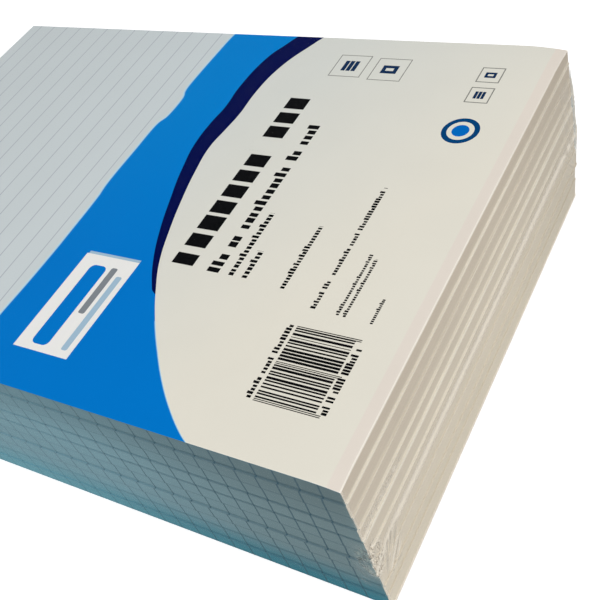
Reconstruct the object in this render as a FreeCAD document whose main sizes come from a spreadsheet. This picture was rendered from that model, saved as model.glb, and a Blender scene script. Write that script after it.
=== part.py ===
import FreeCAD, Part
import math
import os

from FreeCAD import Vector

# A sealed pack of A4 writing pads: ten gummed pads in a stack, a printed card on top of them,
# and one clear shrink film round the lot.
# +Z is up. +Y runs along the long side, from the foot of the sheets to the gummed head.
# The origin is on the floor, under the middle of the pack.

doc = FreeCAD.newDocument("WritingPadPack")

# Driving dimensions: millimetres, apart from the counts and the one angle
driving_sizes = [
    ("sheet_width", "210", "Sheet, short side"),
    ("sheet_length", "297", "Sheet, long side"),
    ("block_height", "6.87", "Height of one pad's sheets"),
    ("board_thick", "0.45", "Backing board, thickness"),
    ("board_proud", "0.5", "Board stands out past the sheets at the foot"),
    ("board_inset", "0.25", "Board is short of the sheets at each long side"),
    ("gum_thick", "0.35", "Padding gum on the head, thickness"),
    ("gum_taper", "0.2", "Gum draws in at its outer face, all round"),
    ("pad_count", "10", "Pads in the pack"),
    ("scatter", "0.25", "Each pad lies this far off centre"),
    ("scatter_turn", "137.5", "Turn between one pad's offset and the next, degrees"),
    ("card_thick", "0.3", "Printed card, thickness"),
    ("far_drop", "1.4", "Film draws the far foot corner down"),
    ("far_leg", "15", "Reach of the far drawn corner along both edges"),
    ("near_drop", "0.7", "Film draws the near foot corner down"),
    ("near_leg", "9", "Reach of the near drawn corner along both edges"),
    ("low_leg", "5", "Reach of the crushed lowest far foot corner along both edges"),
    ("low_rise", "17", "Height of the crushed lowest far foot corner"),
    ("film_thick", "0.1", "Shrink film, thickness"),
    ("film_gap", "0.2", "Clearance between the film and the widest pad"),
    ("seam_reach", "0.5", "Welded seam stands out of the film"),
    ("seam_height", "0.6", "Welded seam, height"),
    ("seam_level", "29.4", "Middle of the welded seam and the gathers, above the floor"),
    ("far_reach", "1.2", "Far foot gather stands out along each axis"),
    ("far_rise", "35", "Far foot gather, height over the seam"),
    ("near_reach", "1.8", "Other gathers stand out along each axis"),
    ("near_rise", "17", "Other gathers, height over the seam"),
    ("gather_fall", "13", "All gathers, depth under the seam"),
    ("foot_run", "18", "Gather's reach along the foot or the head"),
    ("side_run", "11", "Gather's reach along a long side"),
    ("pleat_count", "8", "Folds of a gathered corner on each face"),
    ("pleat_depth", "0.35", "Height of a fold's ridge"),
]

sizes = doc.addObject("Spreadsheet::Sheet", "Sizes")
for row, (alias, number, note) in enumerate(driving_sizes, start=1):
    sizes.set(f"A{row}", note)
    sizes.set(f"B{row}", number)
    sizes.setAlias(f"B{row}", alias)
doc.recompute()

# Lengths that more than one piece is tied to, as formulas on the sheet
PITCH = "(Sizes.block_height + Sizes.board_thick)"
SHEETS_TOP = f"(Sizes.film_thick + Sizes.pad_count * {PITCH})"
CARD_TOP = f"({SHEETS_TOP} + Sizes.card_thick)"
FILM_TOP = f"({CARD_TOP} + Sizes.film_thick)"
FILM_HALF_X = "(Sizes.sheet_width / 2 + Sizes.scatter + Sizes.film_gap)"
FILM_HALF_Y = ("(Sizes.sheet_length / 2 + max(Sizes.board_proud; Sizes.gum_thick)"
               " + Sizes.scatter + Sizes.film_gap)")
DEEPEST = "(2 * max(Sizes.far_drop; Sizes.near_drop))"


def named(obj, label):
    obj.Label = label
    return obj


def box(label, length, width, height, x, y, z):
    """A block with its sizes and its lowest corner given as formulas."""
    block = named(doc.addObject("Part::Box", label), label)
    block.setExpression("Length", length)
    block.setExpression("Width", width)
    block.setExpression("Height", height)
    block.setExpression("Placement.Base.x", x)
    block.setExpression("Placement.Base.y", y)
    block.setExpression("Placement.Base.z", z)
    return block


def centred_box(label, half_x, half_y, low, high):
    """A block centred over the origin, between two levels."""
    return box(label, f"2 * {half_x}", f"2 * {half_y}", f"{high} - {low}",
               f"-{half_x}", f"-{half_y}", low)


def cut(label, base, tool):
    piece = named(doc.addObject("Part::Cut", label), label)
    piece.Base = base
    piece.Tool = tool
    return piece


def solid_from(facets):
    """One closed solid from flat facets, each a list of points."""
    faces = []
    for points in facets:
        faces.append(Part.Face(Part.makePolygon(points + [points[0]])))
    shell = Part.makeShell(faces)
    solid = Part.makeSolid(shell)
    if solid.Volume < 0:
        solid.reverse()
    return solid


# The drawn corners: past the plane of each one nothing is left

def corner_tool(side, leg, drop, level, facing=+1):
    """The space past one drawn foot corner. side is +1 for the far corner and -1 for the near,
    and facing is +1 over an upper surface and -1 under a lower one."""
    margin = 2 * (sizes.board_proud + sizes.scatter + sizes.film_gap + sizes.film_thick)
    rise = sizes.card_thick
    reach = leg + margin + rise * leg / drop

    def place(across, along, below):
        x = side * (sizes.sheet_width / 2 - across)
        return Vector(x, along - sizes.sheet_length / 2, level - facing * below)

    outside = place(-margin, -margin, -rise)
    across_edge = place(reach, -margin, -rise)
    along_edge = place(-margin, reach, -rise)
    down = place(-margin, -margin, drop * (1 + 2 * margin / leg))
    return solid_from([
        [outside, across_edge, along_edge],
        [outside, across_edge, down],
        [outside, along_edge, down],
        [across_edge, along_edge, down],
    ])


def corner_tools(label, level):
    """Both drawn corners' space, for a surface whose flat part is at this level."""
    tools = named(doc.addObject("Part::Feature", label), label)
    tools.Shape = Part.makeCompound([
        corner_tool(+1, sizes.far_leg, sizes.far_drop, level),
        corner_tool(-1, sizes.near_leg, sizes.near_drop, level),
    ])
    return tools


def crushed_corner(label, clearance):
    """The space past the crushed lowest far foot corner, this far off the pads."""
    steepness = math.sqrt(2 / sizes.low_leg ** 2 + 1 / sizes.low_rise ** 2)
    share = 1 - clearance * steepness
    tool = named(doc.addObject("Part::Feature", label), label)
    tool.Shape = corner_tool(+1, share * sizes.low_leg, share * sizes.low_rise,
                             sizes.film_thick, facing=-1)
    return tool


pitch = sizes.block_height + sizes.board_thick
sheets_level = sizes.film_thick + sizes.pad_count * pitch
card_level = sheets_level + sizes.card_thick
film_level = card_level + sizes.film_thick

over_sheets = corner_tools("space_over_sheets", sheets_level)
over_card = corner_tools("space_over_card", card_level)
over_film = corner_tools("space_over_film", film_level)
past_pads = crushed_corner("space_past_pads", 0)
past_inside = crushed_corner("space_past_film_inside", sizes.film_gap)
past_film = crushed_corner("space_past_film", sizes.film_gap + sizes.film_thick)


# The pads, numbered from the top: sheets on a backing board, gummed together at the head

def pad(number):
    """The three pieces of one pad."""
    label = f"pad_{number:02d}"
    shift_x = f"Sizes.scatter * sin(Sizes.scatter_turn * {number})"
    shift_y = f"-Sizes.scatter * cos(Sizes.scatter_turn * {number})"
    base = f"(Sizes.film_thick + (Sizes.pad_count - {number}) * {PITCH})"
    foot = f"-Sizes.sheet_length / 2 + {shift_y}"

    crushed = (sizes.pad_count - number) * pitch < sizes.low_rise
    sheets_label = f"{label}_sheets"
    board_label = f"{label}_board"
    sheets = box(f"{label}_block" if crushed or number == 1 else sheets_label,
                 "Sizes.sheet_width", "Sizes.sheet_length", "Sizes.block_height",
                 f"-Sizes.sheet_width / 2 + {shift_x}", foot, f"{base} + Sizes.board_thick")
    board = box(f"{label}_blank" if crushed else board_label,
                "Sizes.sheet_width - 2 * Sizes.board_inset",
                "Sizes.sheet_length + Sizes.board_proud",
                "Sizes.board_thick",
                f"-Sizes.sheet_width / 2 + Sizes.board_inset + {shift_x}",
                f"{foot} - Sizes.board_proud",
                base)
    if number == 1:
        sheets = cut(f"{label}_drawn" if crushed else sheets_label, sheets, over_sheets)
    if crushed:
        sheets = cut(sheets_label, sheets, past_pads)
        board = cut(board_label, board, past_pads)
    return [sheets, board, gum(label, shift_x, shift_y, base)]


def gum(label, shift_x, shift_y, base):
    """The strip of padding gum: full size on the sheets' edges, drawn in at its outer face."""
    strip = named(doc.addObject("Part::Wedge", f"{label}_gum"), f"{label}_gum")
    strip.setExpression("Xmin", "-Sizes.sheet_width / 2")
    strip.setExpression("Xmax", "Sizes.sheet_width / 2")
    strip.setExpression("X2min", "-Sizes.sheet_width / 2 + Sizes.gum_taper")
    strip.setExpression("X2max", "Sizes.sheet_width / 2 - Sizes.gum_taper")
    strip.setExpression("Ymin", "0")
    strip.setExpression("Ymax", "Sizes.gum_thick")
    strip.setExpression("Zmin", "0")
    strip.setExpression("Zmax", PITCH)
    strip.setExpression("Z2min", "Sizes.gum_taper")
    strip.setExpression("Z2max", f"{PITCH} - Sizes.gum_taper")
    strip.setExpression("Placement.Base.x", shift_x)
    strip.setExpression("Placement.Base.y", f"Sizes.sheet_length / 2 + {shift_y}")
    strip.setExpression("Placement.Base.z", base)
    return strip


pieces = []
for number in range(1, round(sizes.pad_count) + 1):
    pieces += pad(number)


# The printed card: flat on the top pad, and bent down with it at the two drawn corners

card_blank = centred_box("card_blank", "Sizes.sheet_width / 2", "Sizes.sheet_length / 2",
                         f"({SHEETS_TOP} - {DEEPEST})", CARD_TOP)
card_upper = cut("card_upper", card_blank, over_card)
under_card_block = centred_box("under_card_block", FILM_HALF_X, FILM_HALF_Y,
                               f"({SHEETS_TOP} - 2 * {DEEPEST})", SHEETS_TOP)
under_card = cut("under_card", under_card_block, over_sheets)
pieces.append(cut("top_card", card_upper, under_card))


# The shrink film: a closed skin, a welded seam round three sides and four gathered corners

outer_half_x = f"({FILM_HALF_X} + Sizes.film_thick)"
outer_half_y = f"({FILM_HALF_Y} + Sizes.film_thick)"
outside_block = centred_box("film_outside_block", outer_half_x, outer_half_y, "0", FILM_TOP)
inside_block = centred_box("film_inside_block", FILM_HALF_X, FILM_HALF_Y,
                           "Sizes.film_thick", CARD_TOP)
film_outside = cut("film_outside", cut("film_upper_outside", outside_block, over_film), past_film)
film_inside = cut("film_inside", cut("film_upper_inside", inside_block, over_card), past_inside)
skin = cut("film_skin", film_outside, film_inside)

# The seam and the gathers are rooted halfway into the film's wall
root_x = f"({FILM_HALF_X} + Sizes.film_thick / 2)"
root_y = f"({FILM_HALF_Y} + Sizes.film_thick / 2)"
seam_low = "(Sizes.seam_level - Sizes.seam_height / 2)"
seam_out = "(Sizes.film_thick / 2 + Sizes.seam_reach)"
seams = [
    box("foot_seam", f"2 * {root_x}", seam_out, "Sizes.seam_height",
        f"-{root_x}", f"-{root_y} - {seam_out}", seam_low),
    box("head_seam", f"2 * {root_x}", seam_out, "Sizes.seam_height",
        f"-{root_x}", root_y, seam_low),
    box("far_side_seam", seam_out, f"2 * ({root_y} + {seam_out})", "Sizes.seam_height",
        root_x, f"-{root_y} - {seam_out}", seam_low),
]


def gathered_corner(label, side_x, side_y, reach, rise):
    """Film bunched at one upright edge: folds fan out from a peak over both faces."""
    wall_x = sizes.sheet_width / 2 + sizes.scatter + sizes.film_gap + sizes.film_thick / 2
    proud = max(sizes.board_proud, sizes.gum_thick)
    wall_y = sizes.sheet_length / 2 + proud + sizes.scatter + sizes.film_gap + sizes.film_thick / 2
    folds = 2 * round(sizes.pleat_count / 2)
    halfway = 0.5
    peak = Vector(side_x * (wall_x + reach), side_y * (wall_y + reach), sizes.seam_level)

    def fan(on_foot_or_head):
        """Rim points on one face, and the ridges between the rim and the peak."""
        rim = []
        ridges = []
        for step in range(folds + 1):
            angle = math.radians(180 * step / folds - 90)
            run = (sizes.foot_run if on_foot_or_head else sizes.side_run) * math.cos(angle)
            height = rise if angle > 0 else sizes.gather_fall
            z = sizes.seam_level + height * math.sin(angle)
            inner_step = 0 < step < folds
            lift = sizes.pleat_depth if step % 2 else 0
            if not inner_step:
                point = Vector(side_x * wall_x, side_y * wall_y, z)
                outward = Vector(0, 0, 0)
            elif on_foot_or_head:
                point = Vector(side_x * (wall_x - run), side_y * wall_y, z)
                outward = Vector(0, side_y * lift, 0)
            else:
                point = Vector(side_x * wall_x, side_y * (wall_y - run), z)
                outward = Vector(side_x * lift, 0, 0)
            rim.append(point)
            ridges.append(peak + (point - peak) * halfway + outward)
        return rim, ridges

    facets = []
    for on_foot_or_head in (True, False):
        rim, ridges = fan(on_foot_or_head)
        facets.append(rim)
        for step in range(folds):
            facets.append([peak, ridges[step], ridges[step + 1]])
            facets.append([ridges[step], rim[step], rim[step + 1]])
            facets.append([ridges[step], rim[step + 1], ridges[step + 1]])
    corner = named(doc.addObject("Part::Feature", label), label)
    corner.Shape = solid_from(facets)
    return corner


gathers = [
    gathered_corner("near_foot_gather", -1, -1, sizes.near_reach, sizes.near_rise),
    gathered_corner("far_foot_gather", +1, -1, sizes.far_reach, sizes.far_rise),
    gathered_corner("near_head_gather", -1, +1, sizes.near_reach, sizes.near_rise),
    gathered_corner("far_head_gather", +1, +1, sizes.near_reach, sizes.near_rise),
]

film = named(doc.addObject("Part::MultiFuse", "shrink_film"), "shrink_film")
film.Shapes = [skin] + seams + gathers
pieces.append(film)


doc.recompute()

for obj in doc.Objects:
    if "Invalid" in obj.State or "Error" in obj.State:
        raise RuntimeError(f"{obj.Label} did not build: {obj.State}")

for piece in pieces:
    shape = piece.Shape
    if shape.isNull() or not shape.isValid():
        raise RuntimeError(f"{piece.Label} has no valid shape")
    if len(shape.Solids) != 1:
        raise RuntimeError(f"{piece.Label} has {len(shape.Solids)} solids")

os.makedirs("parts", exist_ok=True)
for piece in pieces:
    piece.Shape.exportStep(f"parts/{piece.Label}.step")

print(f"{len(pieces)} pieces, {film_level:.2f} mm high")
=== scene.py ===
import math

import bpy
from mathutils import Matrix, Vector, noise


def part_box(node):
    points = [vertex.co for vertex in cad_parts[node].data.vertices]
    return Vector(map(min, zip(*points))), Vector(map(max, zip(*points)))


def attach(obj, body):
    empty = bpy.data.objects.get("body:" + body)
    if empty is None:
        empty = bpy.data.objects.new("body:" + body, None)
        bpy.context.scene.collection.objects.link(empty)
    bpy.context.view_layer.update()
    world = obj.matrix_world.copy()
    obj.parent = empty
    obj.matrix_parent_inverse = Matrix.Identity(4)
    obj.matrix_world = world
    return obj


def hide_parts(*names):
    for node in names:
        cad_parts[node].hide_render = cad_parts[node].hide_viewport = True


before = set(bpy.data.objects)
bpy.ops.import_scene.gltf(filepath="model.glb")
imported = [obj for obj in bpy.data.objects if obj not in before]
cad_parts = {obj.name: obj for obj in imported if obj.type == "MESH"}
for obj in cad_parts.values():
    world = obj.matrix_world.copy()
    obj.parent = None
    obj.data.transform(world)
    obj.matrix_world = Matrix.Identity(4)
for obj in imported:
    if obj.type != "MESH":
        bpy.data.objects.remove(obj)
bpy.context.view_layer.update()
mm = 0.001
sheetSize = {"halfX": 105.0, "halfY": 148.5}  # A4, from the middle of the pack, in millimetres
print("frame loaded:", len(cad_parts), "nodes")


# Camera first: it looks down on the near foot corner, and it is rolled
camera = {
    "place": (-203.3, -255.2, 289.0),  # millimetres, as all places below
    "aim": (-15.9, -77.0, 36.85),
    "rollDegrees": -21.93,
    "lens": 55.22,
    "sensor": 36.0,
}


def makeCamera():
    data = bpy.data.cameras.new("camera")
    data.lens = camera["lens"]
    data.sensor_width = camera["sensor"]
    data.clip_start, data.clip_end = 0.01, 20
    obj = bpy.data.objects.new("camera", data)
    bpy.context.scene.collection.objects.link(obj)
    place = Vector(camera["place"]) * mm
    look = (Vector(camera["aim"]) * mm - place).to_track_quat("-Z", "Y")
    roll = Matrix.Rotation(math.radians(camera["rollDegrees"]), 4, "Z")
    obj.matrix_world = Matrix.Translation(place) @ look.to_matrix().to_4x4() @ roll
    bpy.context.scene.camera = obj


# Small helpers for shader trees

def wire(tree, value, socket):
    if isinstance(value, bpy.types.NodeSocket):
        tree.links.new(value, socket)
    else:
        socket.default_value = value


def wireAll(tree, node, values):
    for name, value in values.items():
        wire(tree, value, node.inputs[name])


# A new node with these settings and inputs, and the output that is wanted
def addNode(tree, kind, inputs, output, **settings):
    node = tree.nodes.new("ShaderNode" + kind)
    for name, value in settings.items():
        setattr(node, name, value)
    wireAll(tree, node, inputs)
    return node.outputs[output]


def calc(tree, operation, first, second=0.0, third=0.0):
    return addNode(tree, "Math", {0: first, 1: second, 2: third}, "Value", operation=operation)


def times(tree, first, second):
    return calc(tree, "MULTIPLY", first, second)


def plus(tree, first, second):
    return calc(tree, "ADD", first, second)


def minus(tree, first, second):
    return calc(tree, "SUBTRACT", first, second)


def larger(tree, first, second):
    return calc(tree, "MAXIMUM", first, second)


def isAbove(tree, value, limit):
    return calc(tree, "GREATER_THAN", value, limit)


def isBelow(tree, value, limit):
    return calc(tree, "LESS_THAN", value, limit)


# Runs from start to end as value goes from low to high
def ramp(tree, value, low, high, start=0.0, end=1.0, smooth=True):
    inputs = {"Value": value, "From Min": low, "From Max": high, "To Min": start, "To Max": end}
    kind = "SMOOTHSTEP" if smooth else "LINEAR"
    return addNode(tree, "MapRange", inputs, "Result", interpolation_type=kind)


# The colour under, with the colour over laid on it where the mask is 1
def paint(tree, under, over, mask):
    return addNode(tree, "Mix", {"Factor": mask, "A": under, "B": over}, "Result", data_type="RGBA")


# A colour from its usual 0 to 255 numbers
def sRgb(red, green, blue):
    def linear(level):
        level /= 255
        return level / 12.92 if level <= 0.04045 else ((level + 0.055) / 1.055) ** 2.4
    return (linear(red), linear(green), linear(blue), 1.0)


def noiseAt(tree, vector, scale, detail=2.0, roughness=0.5, distortion=0.0):
    return addNode(tree, "TexNoise", {"Vector": vector, "Scale": scale, "Detail": detail,
                                      "Roughness": roughness, "Distortion": distortion}, "Fac")


# A number from 0 to 1, the same wherever the seed is the same
def drawFor(tree, seed):
    return addNode(tree, "TexWhiteNoise", {"W": seed}, "Value", noise_dimensions="1D")


def scaled(tree, vector, x, y, z):
    return addNode(tree, "Mapping", {"Vector": vector, "Scale": (x, y, z)}, "Vector")


def split(tree, vector):
    node = tree.nodes.new("ShaderNodeSeparateXYZ")
    wire(tree, vector, node.inputs["Vector"])
    return node.outputs["X"], node.outputs["Y"], node.outputs["Z"]


def bump(tree, height, strength, distance):
    return addNode(
        tree, "Bump", {"Height": height, "Strength": strength, "Distance": distance}, "Normal")


# How far a length is from the nearest whole number of pitches
def fromNearest(tree, length, pitch):
    turns = calc(tree, "DIVIDE", length, pitch)
    off = calc(tree, "ABSOLUTE", minus(tree, turns, calc(tree, "ROUND", turns)))
    return times(tree, off, pitch)


# The colour, made lighter or darker by a tone round 1
def toned(tree, colour, tone):
    return addNode(tree, "VectorMath", {"Vector": colour, "Scale": tone}, "Vector", operation="SCALE")


def tinted(tree, colour, tint):
    return addNode(tree, "VectorMath", {0: colour, 1: tint}, "Vector", operation="MULTIPLY")


# 1 where a thing is seen straight, in a gloss or through glass, and not by the light that it gives
def seenStraight(tree):
    paths = tree.nodes.new("ShaderNodeLightPath")
    seen = larger(tree, paths.outputs["Is Camera Ray"], paths.outputs["Is Glossy Ray"])
    return larger(tree, seen, paths.outputs["Is Transmission Ray"])


# A material with its surface shader, the place in millimetres, and which way a face points
def newMaterial(name):
    material = bpy.data.materials.new(name)
    material.use_nodes = True
    tree = material.node_tree
    shader = tree.nodes["Principled BSDF"]
    coordinates = tree.nodes.new("ShaderNodeTexCoord")
    place = scaled(tree, coordinates.outputs["Object"], 1000, 1000, 1000)
    return material, tree, shader, place, coordinates.outputs["Normal"]


# A node group: every input and output is a plain number, unless its name says Vector
def newGroup(name, inputs, outputs):
    group = bpy.data.node_groups.new(name, "ShaderNodeTree")
    for direction, names in (("INPUT", inputs), ("OUTPUT", outputs)):
        for socketName in names:
            kind = "NodeSocketVector" if "Vector" in socketName else "NodeSocketFloat"
            group.interface.new_socket(socketName, in_out=direction, socket_type=kind)
    return group, group.nodes.new("NodeGroupInput"), group.nodes.new("NodeGroupOutput")


def useGroup(tree, group, values):
    node = tree.nodes.new("ShaderNodeGroup")
    node.node_tree = group
    wireAll(tree, node, values)
    return node.outputs


# Shared effects

# Fine fibre and a slow cloudiness, for paper, card and board
def makePaperGrain():
    group, inside, out = newGroup("paperGrain", ["Vector", "Fine", "Broad"], ["Tone", "Height"])
    place = inside.outputs["Vector"]
    fibre = noiseAt(group, place, 2.6, 3.0, 0.6)
    cloud = noiseAt(group, place, 0.045, 2.0, 0.5)
    fine = times(group, minus(group, fibre, 0.5), inside.outputs["Fine"])
    broad = times(group, minus(group, cloud, 0.5), inside.outputs["Broad"])
    tone = plus(group, plus(group, fine, broad), 1.0)
    group.links.new(tone, out.inputs["Tone"])
    group.links.new(fibre, out.inputs["Height"])
    return group


# 1 inside an upright rectangle with rounded corners, and 0 outside
def makePlate():
    group, inside, out = newGroup(
        "plate", ["X", "Y", "Centre X", "Centre Y", "Half Width", "Half Height", "Corner"], ["Mask"])
    sides = []
    for place, centre, half in (("X", "Centre X", "Half Width"), ("Y", "Centre Y", "Half Height")):
        away = minus(group, inside.outputs[place], inside.outputs[centre])
        reach = minus(group, inside.outputs[half], inside.outputs["Corner"])
        past = minus(group, calc(group, "ABSOLUTE", away), reach)
        sides.append(larger(group, past, 0.0))
    squared = [times(group, side, side) for side in sides]
    distance = calc(group, "SQRT", plus(group, *squared))
    mask = isBelow(group, distance, inside.outputs["Corner"])
    group.links.new(mask, out.inputs["Mask"])
    return group


rowParts = ["Start", "Length", "Foot", "Height", "Pitch", "Gaps", "Seed"]


# A row of plain upright bars, uneven like printed words seen from far off
def makeTextBars():
    group, inside, out = newGroup("textBars", ["X", "Y", *rowParts], ["Mask"])
    get = inside.outputs
    along = minus(group, get["X"], get["Start"])
    steps = calc(group, "DIVIDE", along, get["Pitch"])
    cell = calc(group, "FLOOR", steps)
    part = calc(group, "FRACT", steps)
    otherSeed = plus(group, get["Seed"], 57.3)
    width = drawFor(group, plus(group, cell, get["Seed"]))
    stature = drawFor(group, plus(group, cell, otherSeed))
    bar = isBelow(group, part, ramp(group, width, 0.0, 1.0, 0.6, 0.84, smooth=False))
    inked = isAbove(group, stature, get["Gaps"])
    tall = isAbove(group, stature, 0.66)  # a third of the bars, like b, d and h
    top = times(group, get["Height"], ramp(group, tall, 0.0, 1.0, 0.7, 1.0, smooth=False))
    up = minus(group, get["Y"], get["Foot"])
    mask = times(group, bar, inked)
    for limit in (isBelow(group, up, top), isAbove(group, up, 0.0),
                  isAbove(group, along, 0.0), isBelow(group, along, get["Length"])):
        mask = times(group, mask, limit)
    group.links.new(mask, out.inputs["Mask"])
    return group


# The look of cut sheets in a block: thin uneven layers, and a tone for each pad
def makeEdgeLayers():
    group, inside, out = newGroup("edgeLayers", ["Vector", "Pad Pitch", "Depth"], ["Tone", "Height"])
    place = inside.outputs["Vector"]
    layers = noiseAt(group, scaled(group, place, 0.012, 0.012, 2.4), 1.0, 3.0, 0.65)
    bands = noiseAt(group, scaled(group, place, 0.006, 0.006, 0.55), 1.0, 1.0, 0.5)
    x, y, z = split(group, place)
    padDraw = drawFor(group, calc(group, "FLOOR", calc(group, "DIVIDE", z, inside.outputs["Pad Pitch"])))
    both = plus(group, times(group, layers, 0.5), times(group, bands, 0.5))
    spread = times(group, minus(group, both, 0.5), inside.outputs["Depth"])
    padTone = times(group, minus(group, padDraw, 0.5), 0.035)
    tone = plus(group, plus(group, spread, padTone), 1.0)
    group.links.new(tone, out.inputs["Tone"])
    group.links.new(layers, out.inputs["Height"])
    return group


print("shared shader groups")
paperGrain = makePaperGrain()
plate = makePlate()
textBars = makeTextBars()
edgeLayers = makeEdgeLayers()


# Grain on a colour, with the roughness, the relief and the gloss from the piece's own dictionary
def finishPaper(tree, shader, place, look, colour, relief=None):
    fine, broad = look["grain"]
    grain = useGroup(tree, paperGrain, {"Vector": place, "Fine": fine, "Broad": broad})
    height = grain["Height"] if relief is None else relief
    wireAll(tree, shader, {
        "Base Color": toned(tree, colour, grain["Tone"]),
        "Roughness": ramp(tree, grain["Height"], 0.3, 0.7, *look["rough"]),
        "Normal": bump(tree, height, *look["relief"]),
        "Specular IOR Level": look["gloss"],
    })


# The printed card's ink: fields of colour and simple shapes, all in card millimetres
cardInk = {
    "offWhite": sRgb(226, 222, 209),
    "offWhiteFarShade": sRgb(214, 216, 210),  # painted shade: cooler and a little darker away from the near foot corner
    # the lip band along the foot edge: a pinker tint, with painted shade where the card bends down
    "lip": sRgb(225, 216, 205),
    "ruledField": sRgb(203, 211, 213),
    "ruledLine": sRgb(166, 173, 182),
    "blue": sRgb(0, 117, 201),
    "blueFar": sRgb(0, 127, 206),
    "navy": sRgb(0, 9, 70),
    "halo": sRgb(176, 222, 240),
    "black": sRgb(8, 9, 11),
    "boxLine": sRgb(132, 132, 126),
    "mark": sRgb(18, 46, 82),
    "ring": sRgb(2, 64, 116),
    "disc": sRgb(0, 104, 190),
    "plateWhite": sRgb(236, 235, 232),
    "plateGrey": sRgb(128, 134, 140),
    "platePale": sRgb(160, 188, 208),
    # painted highlight: a thin bright line along the card's foot edge, dimmer toward the far long side
    "footEdgeHighlight": sRgb(241, 234, 223),
    "footEdgeHighlightFar": sRgb(230, 222, 211),
    # painted shade: the card's near long edge, dark teal like the shaded side
    "longEdgeShade": sRgb(96, 136, 150),
    "otherEdge": sRgb(226, 220, 206),
}

# Where the card's tones change, in card millimetres, and its surface
cardLook = {
    "shadeLean": 0.5,  # the off-white cools and darkens with painted shade up the card, and half as fast across it
    "shadeRun": (-125.0, -5.0),
    "blueRun": (-50.0, 50.0),
    "tip": -64.9,  # x of the navy sweep's lower end
    "sheetHair": (0.75, 0.15, 0.0, 0.75),  # where a hairline fades out and is full, and its strength
    "paleHair": (0.5, 0.1, 0.0, 0.6),
    "lipRun": (-143.6, -144.4),
    "footRun": (-147.95, -148.2),
    "footHighlightFade": (0.0, 100.0),
    "grain": (0.03, 0.035), "rough": (0.42, 0.5), "gloss": 0.01,
    "relief": (0.12, 0.00004),  # strength, and depth in metres
}

# Where the fields meet: y of each boundary, at a few places across the card
sheetEdge = [(-105, 11.6), (-78, 11.4), (-52, 10.9), (-30, 11.3), (-12, 12.0), (4, 13.3), (18, 13.3),
             (31, 13.5), (39, 12.1), (48, 10.9), (57, 11.8), (66, 13.5), (82, 13.3), (105, 12.0)]
blueFoot = [(-105, -23), (-64.9, -55.0), (-51.8, -44.6), (-38.5, -36.1), (-23.9, -29.3), (-7.7, -23.4),
            (11.9, -17.3), (28, -14.1), (40, -13.9), (51, -14.8), (65, -13.9), (82.8, -15.2),
            (99.6, -21.2), (105, -23.8)]
paleEdge = [(-105, -94.7), (-102.9, -91.3), (-96.2, -82.8), (-87.9, -74.1), (-77.7, -65.1),
            (-64.9, -55.1), (-51.4, -46.2), (-37.9, -38.9), (-23.1, -33.5), (-6.8, -28.7),
            (10.4, -24.7), (25.3, -22.6), (36.5, -23.6), (47.1, -24.6), (61.9, -24.2),
            (77.4, -25.8), (100.5, -35.0), (105, -37.5)]

# Rows of bars in the place of words: start, length, foot, height, pitch, gaps between words, seed
wordRows = [
    (-38.0, 64.2, -54.2, 14.0, 9.17, 0.0, 4.0),
    (35.0, 28.2, -53.2, 14.0, 9.4, 0.0, 8.0),
    (-38.8, 84.4, -66.2, 5.2, 3.25, 0.12, 11.0),
    (-38.7, 32.4, -72.6, 3.0, 1.9, 0.03, 17.0),
    (-38.7, 13.4, -78.4, 3.0, 1.9, 0.03, 23.0),
    (-40.0, 31.0, -94.8, 2.4, 1.4, 0.03, 31.0),
    (-45.6, 60.1, -110.0, 2.0, 1.3, 0.12, 37.0),
    (-46.2, 28.0, -119.2, 1.45, 1.05, 0.0, 41.0),
    (-46.4, 26.4, -121.8, 1.45, 1.05, 0.0, 43.0),
    (-46.9, 11.0, -131.9, 1.45, 0.85, 0.0, 47.0),
    (-84.2, 30.4, -106.4, 2.2, 1.4, 0.08, 53.0),
    (-87.0, 31.0, -133.2, 2.7, 1.2, 0.28, 59.0),
]

barcode = {"left": -84.7, "right": -53.7, "top": -107.6, "foot": -129.7, "guardFoot": -131.6,
           "module": 0.326, "guardReach": 2.5, "chance": 0.64, "seed": 71.0}

# Square outlines: centre x, centre y, half side, line width, and what stands in it
squares = [
    (85.2, -60.6, 7.6, 0.42, "stack"),
    (84.2, -79.8, 7.6, 0.42, "page"),
    (84.35, -124.2, 4.85, 0.5, "page"),
    (71.4, -124.2, 4.85, 0.5, "stack"),
]

# Half width and half height of what stands in a square, as shares of its half side
squareMarks = {"page": (0.36, 0.48), "pageInside": (0.12, 0.24), "bar": (0.46, 0.13),
               "barLevels": (-0.32, 0.0, 0.32)}

roundMark = {"x": 49.6, "y": -124.7, "outer": 7.4, "inner": 5.3, "disc": 3.4}
whitePlate = {
    "x": -65.2, "y": -18.4, "halfWidth": 23.7, "halfHeight": 13.2, "backShift": 1.3, "backTrim": 0.4,
    # Ink, shift across, shift up, half width, half height
    "bars": [("blue", -1.0, 2.9, 19.8, 4.0), ("plateGrey", 7.5, -4.6, 11.5, 1.5),
             ("platePale", -2.5, -9.2, 18.0, 1.4)],
}

# The printed picture of a ruled sheet: its lines stand a little wider apart toward the head
ruledPicture = {"first": 17.5, "pitch": 9.09, "spread": 0.00029, "slope": 0.0167, "width": 0.32}


# The height of a smooth line through the points, at x
def curveThrough(tree, x, points):
    low = points[0][0]
    high = points[-1][0]
    heights = [point[1] for point in points]
    bottom, top = min(heights), max(heights)
    node = tree.nodes.new("ShaderNodeFloatCurve")
    wire(tree, ramp(tree, x, low, high, smooth=False), node.inputs["Value"])
    line = node.mapping.curves[0]
    for index, (across, height) in enumerate(points):
        spot = ((across - low) / (high - low), (height - bottom) / (top - bottom))
        if index == 0:
            line.points[0].location = spot
        elif index == len(points) - 1:
            line.points[-1].location = spot
        else:
            line.points.new(*spot)
    node.mapping.update()
    return calc(tree, "MULTIPLY_ADD", node.outputs["Value"], top - bottom, bottom)


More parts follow.
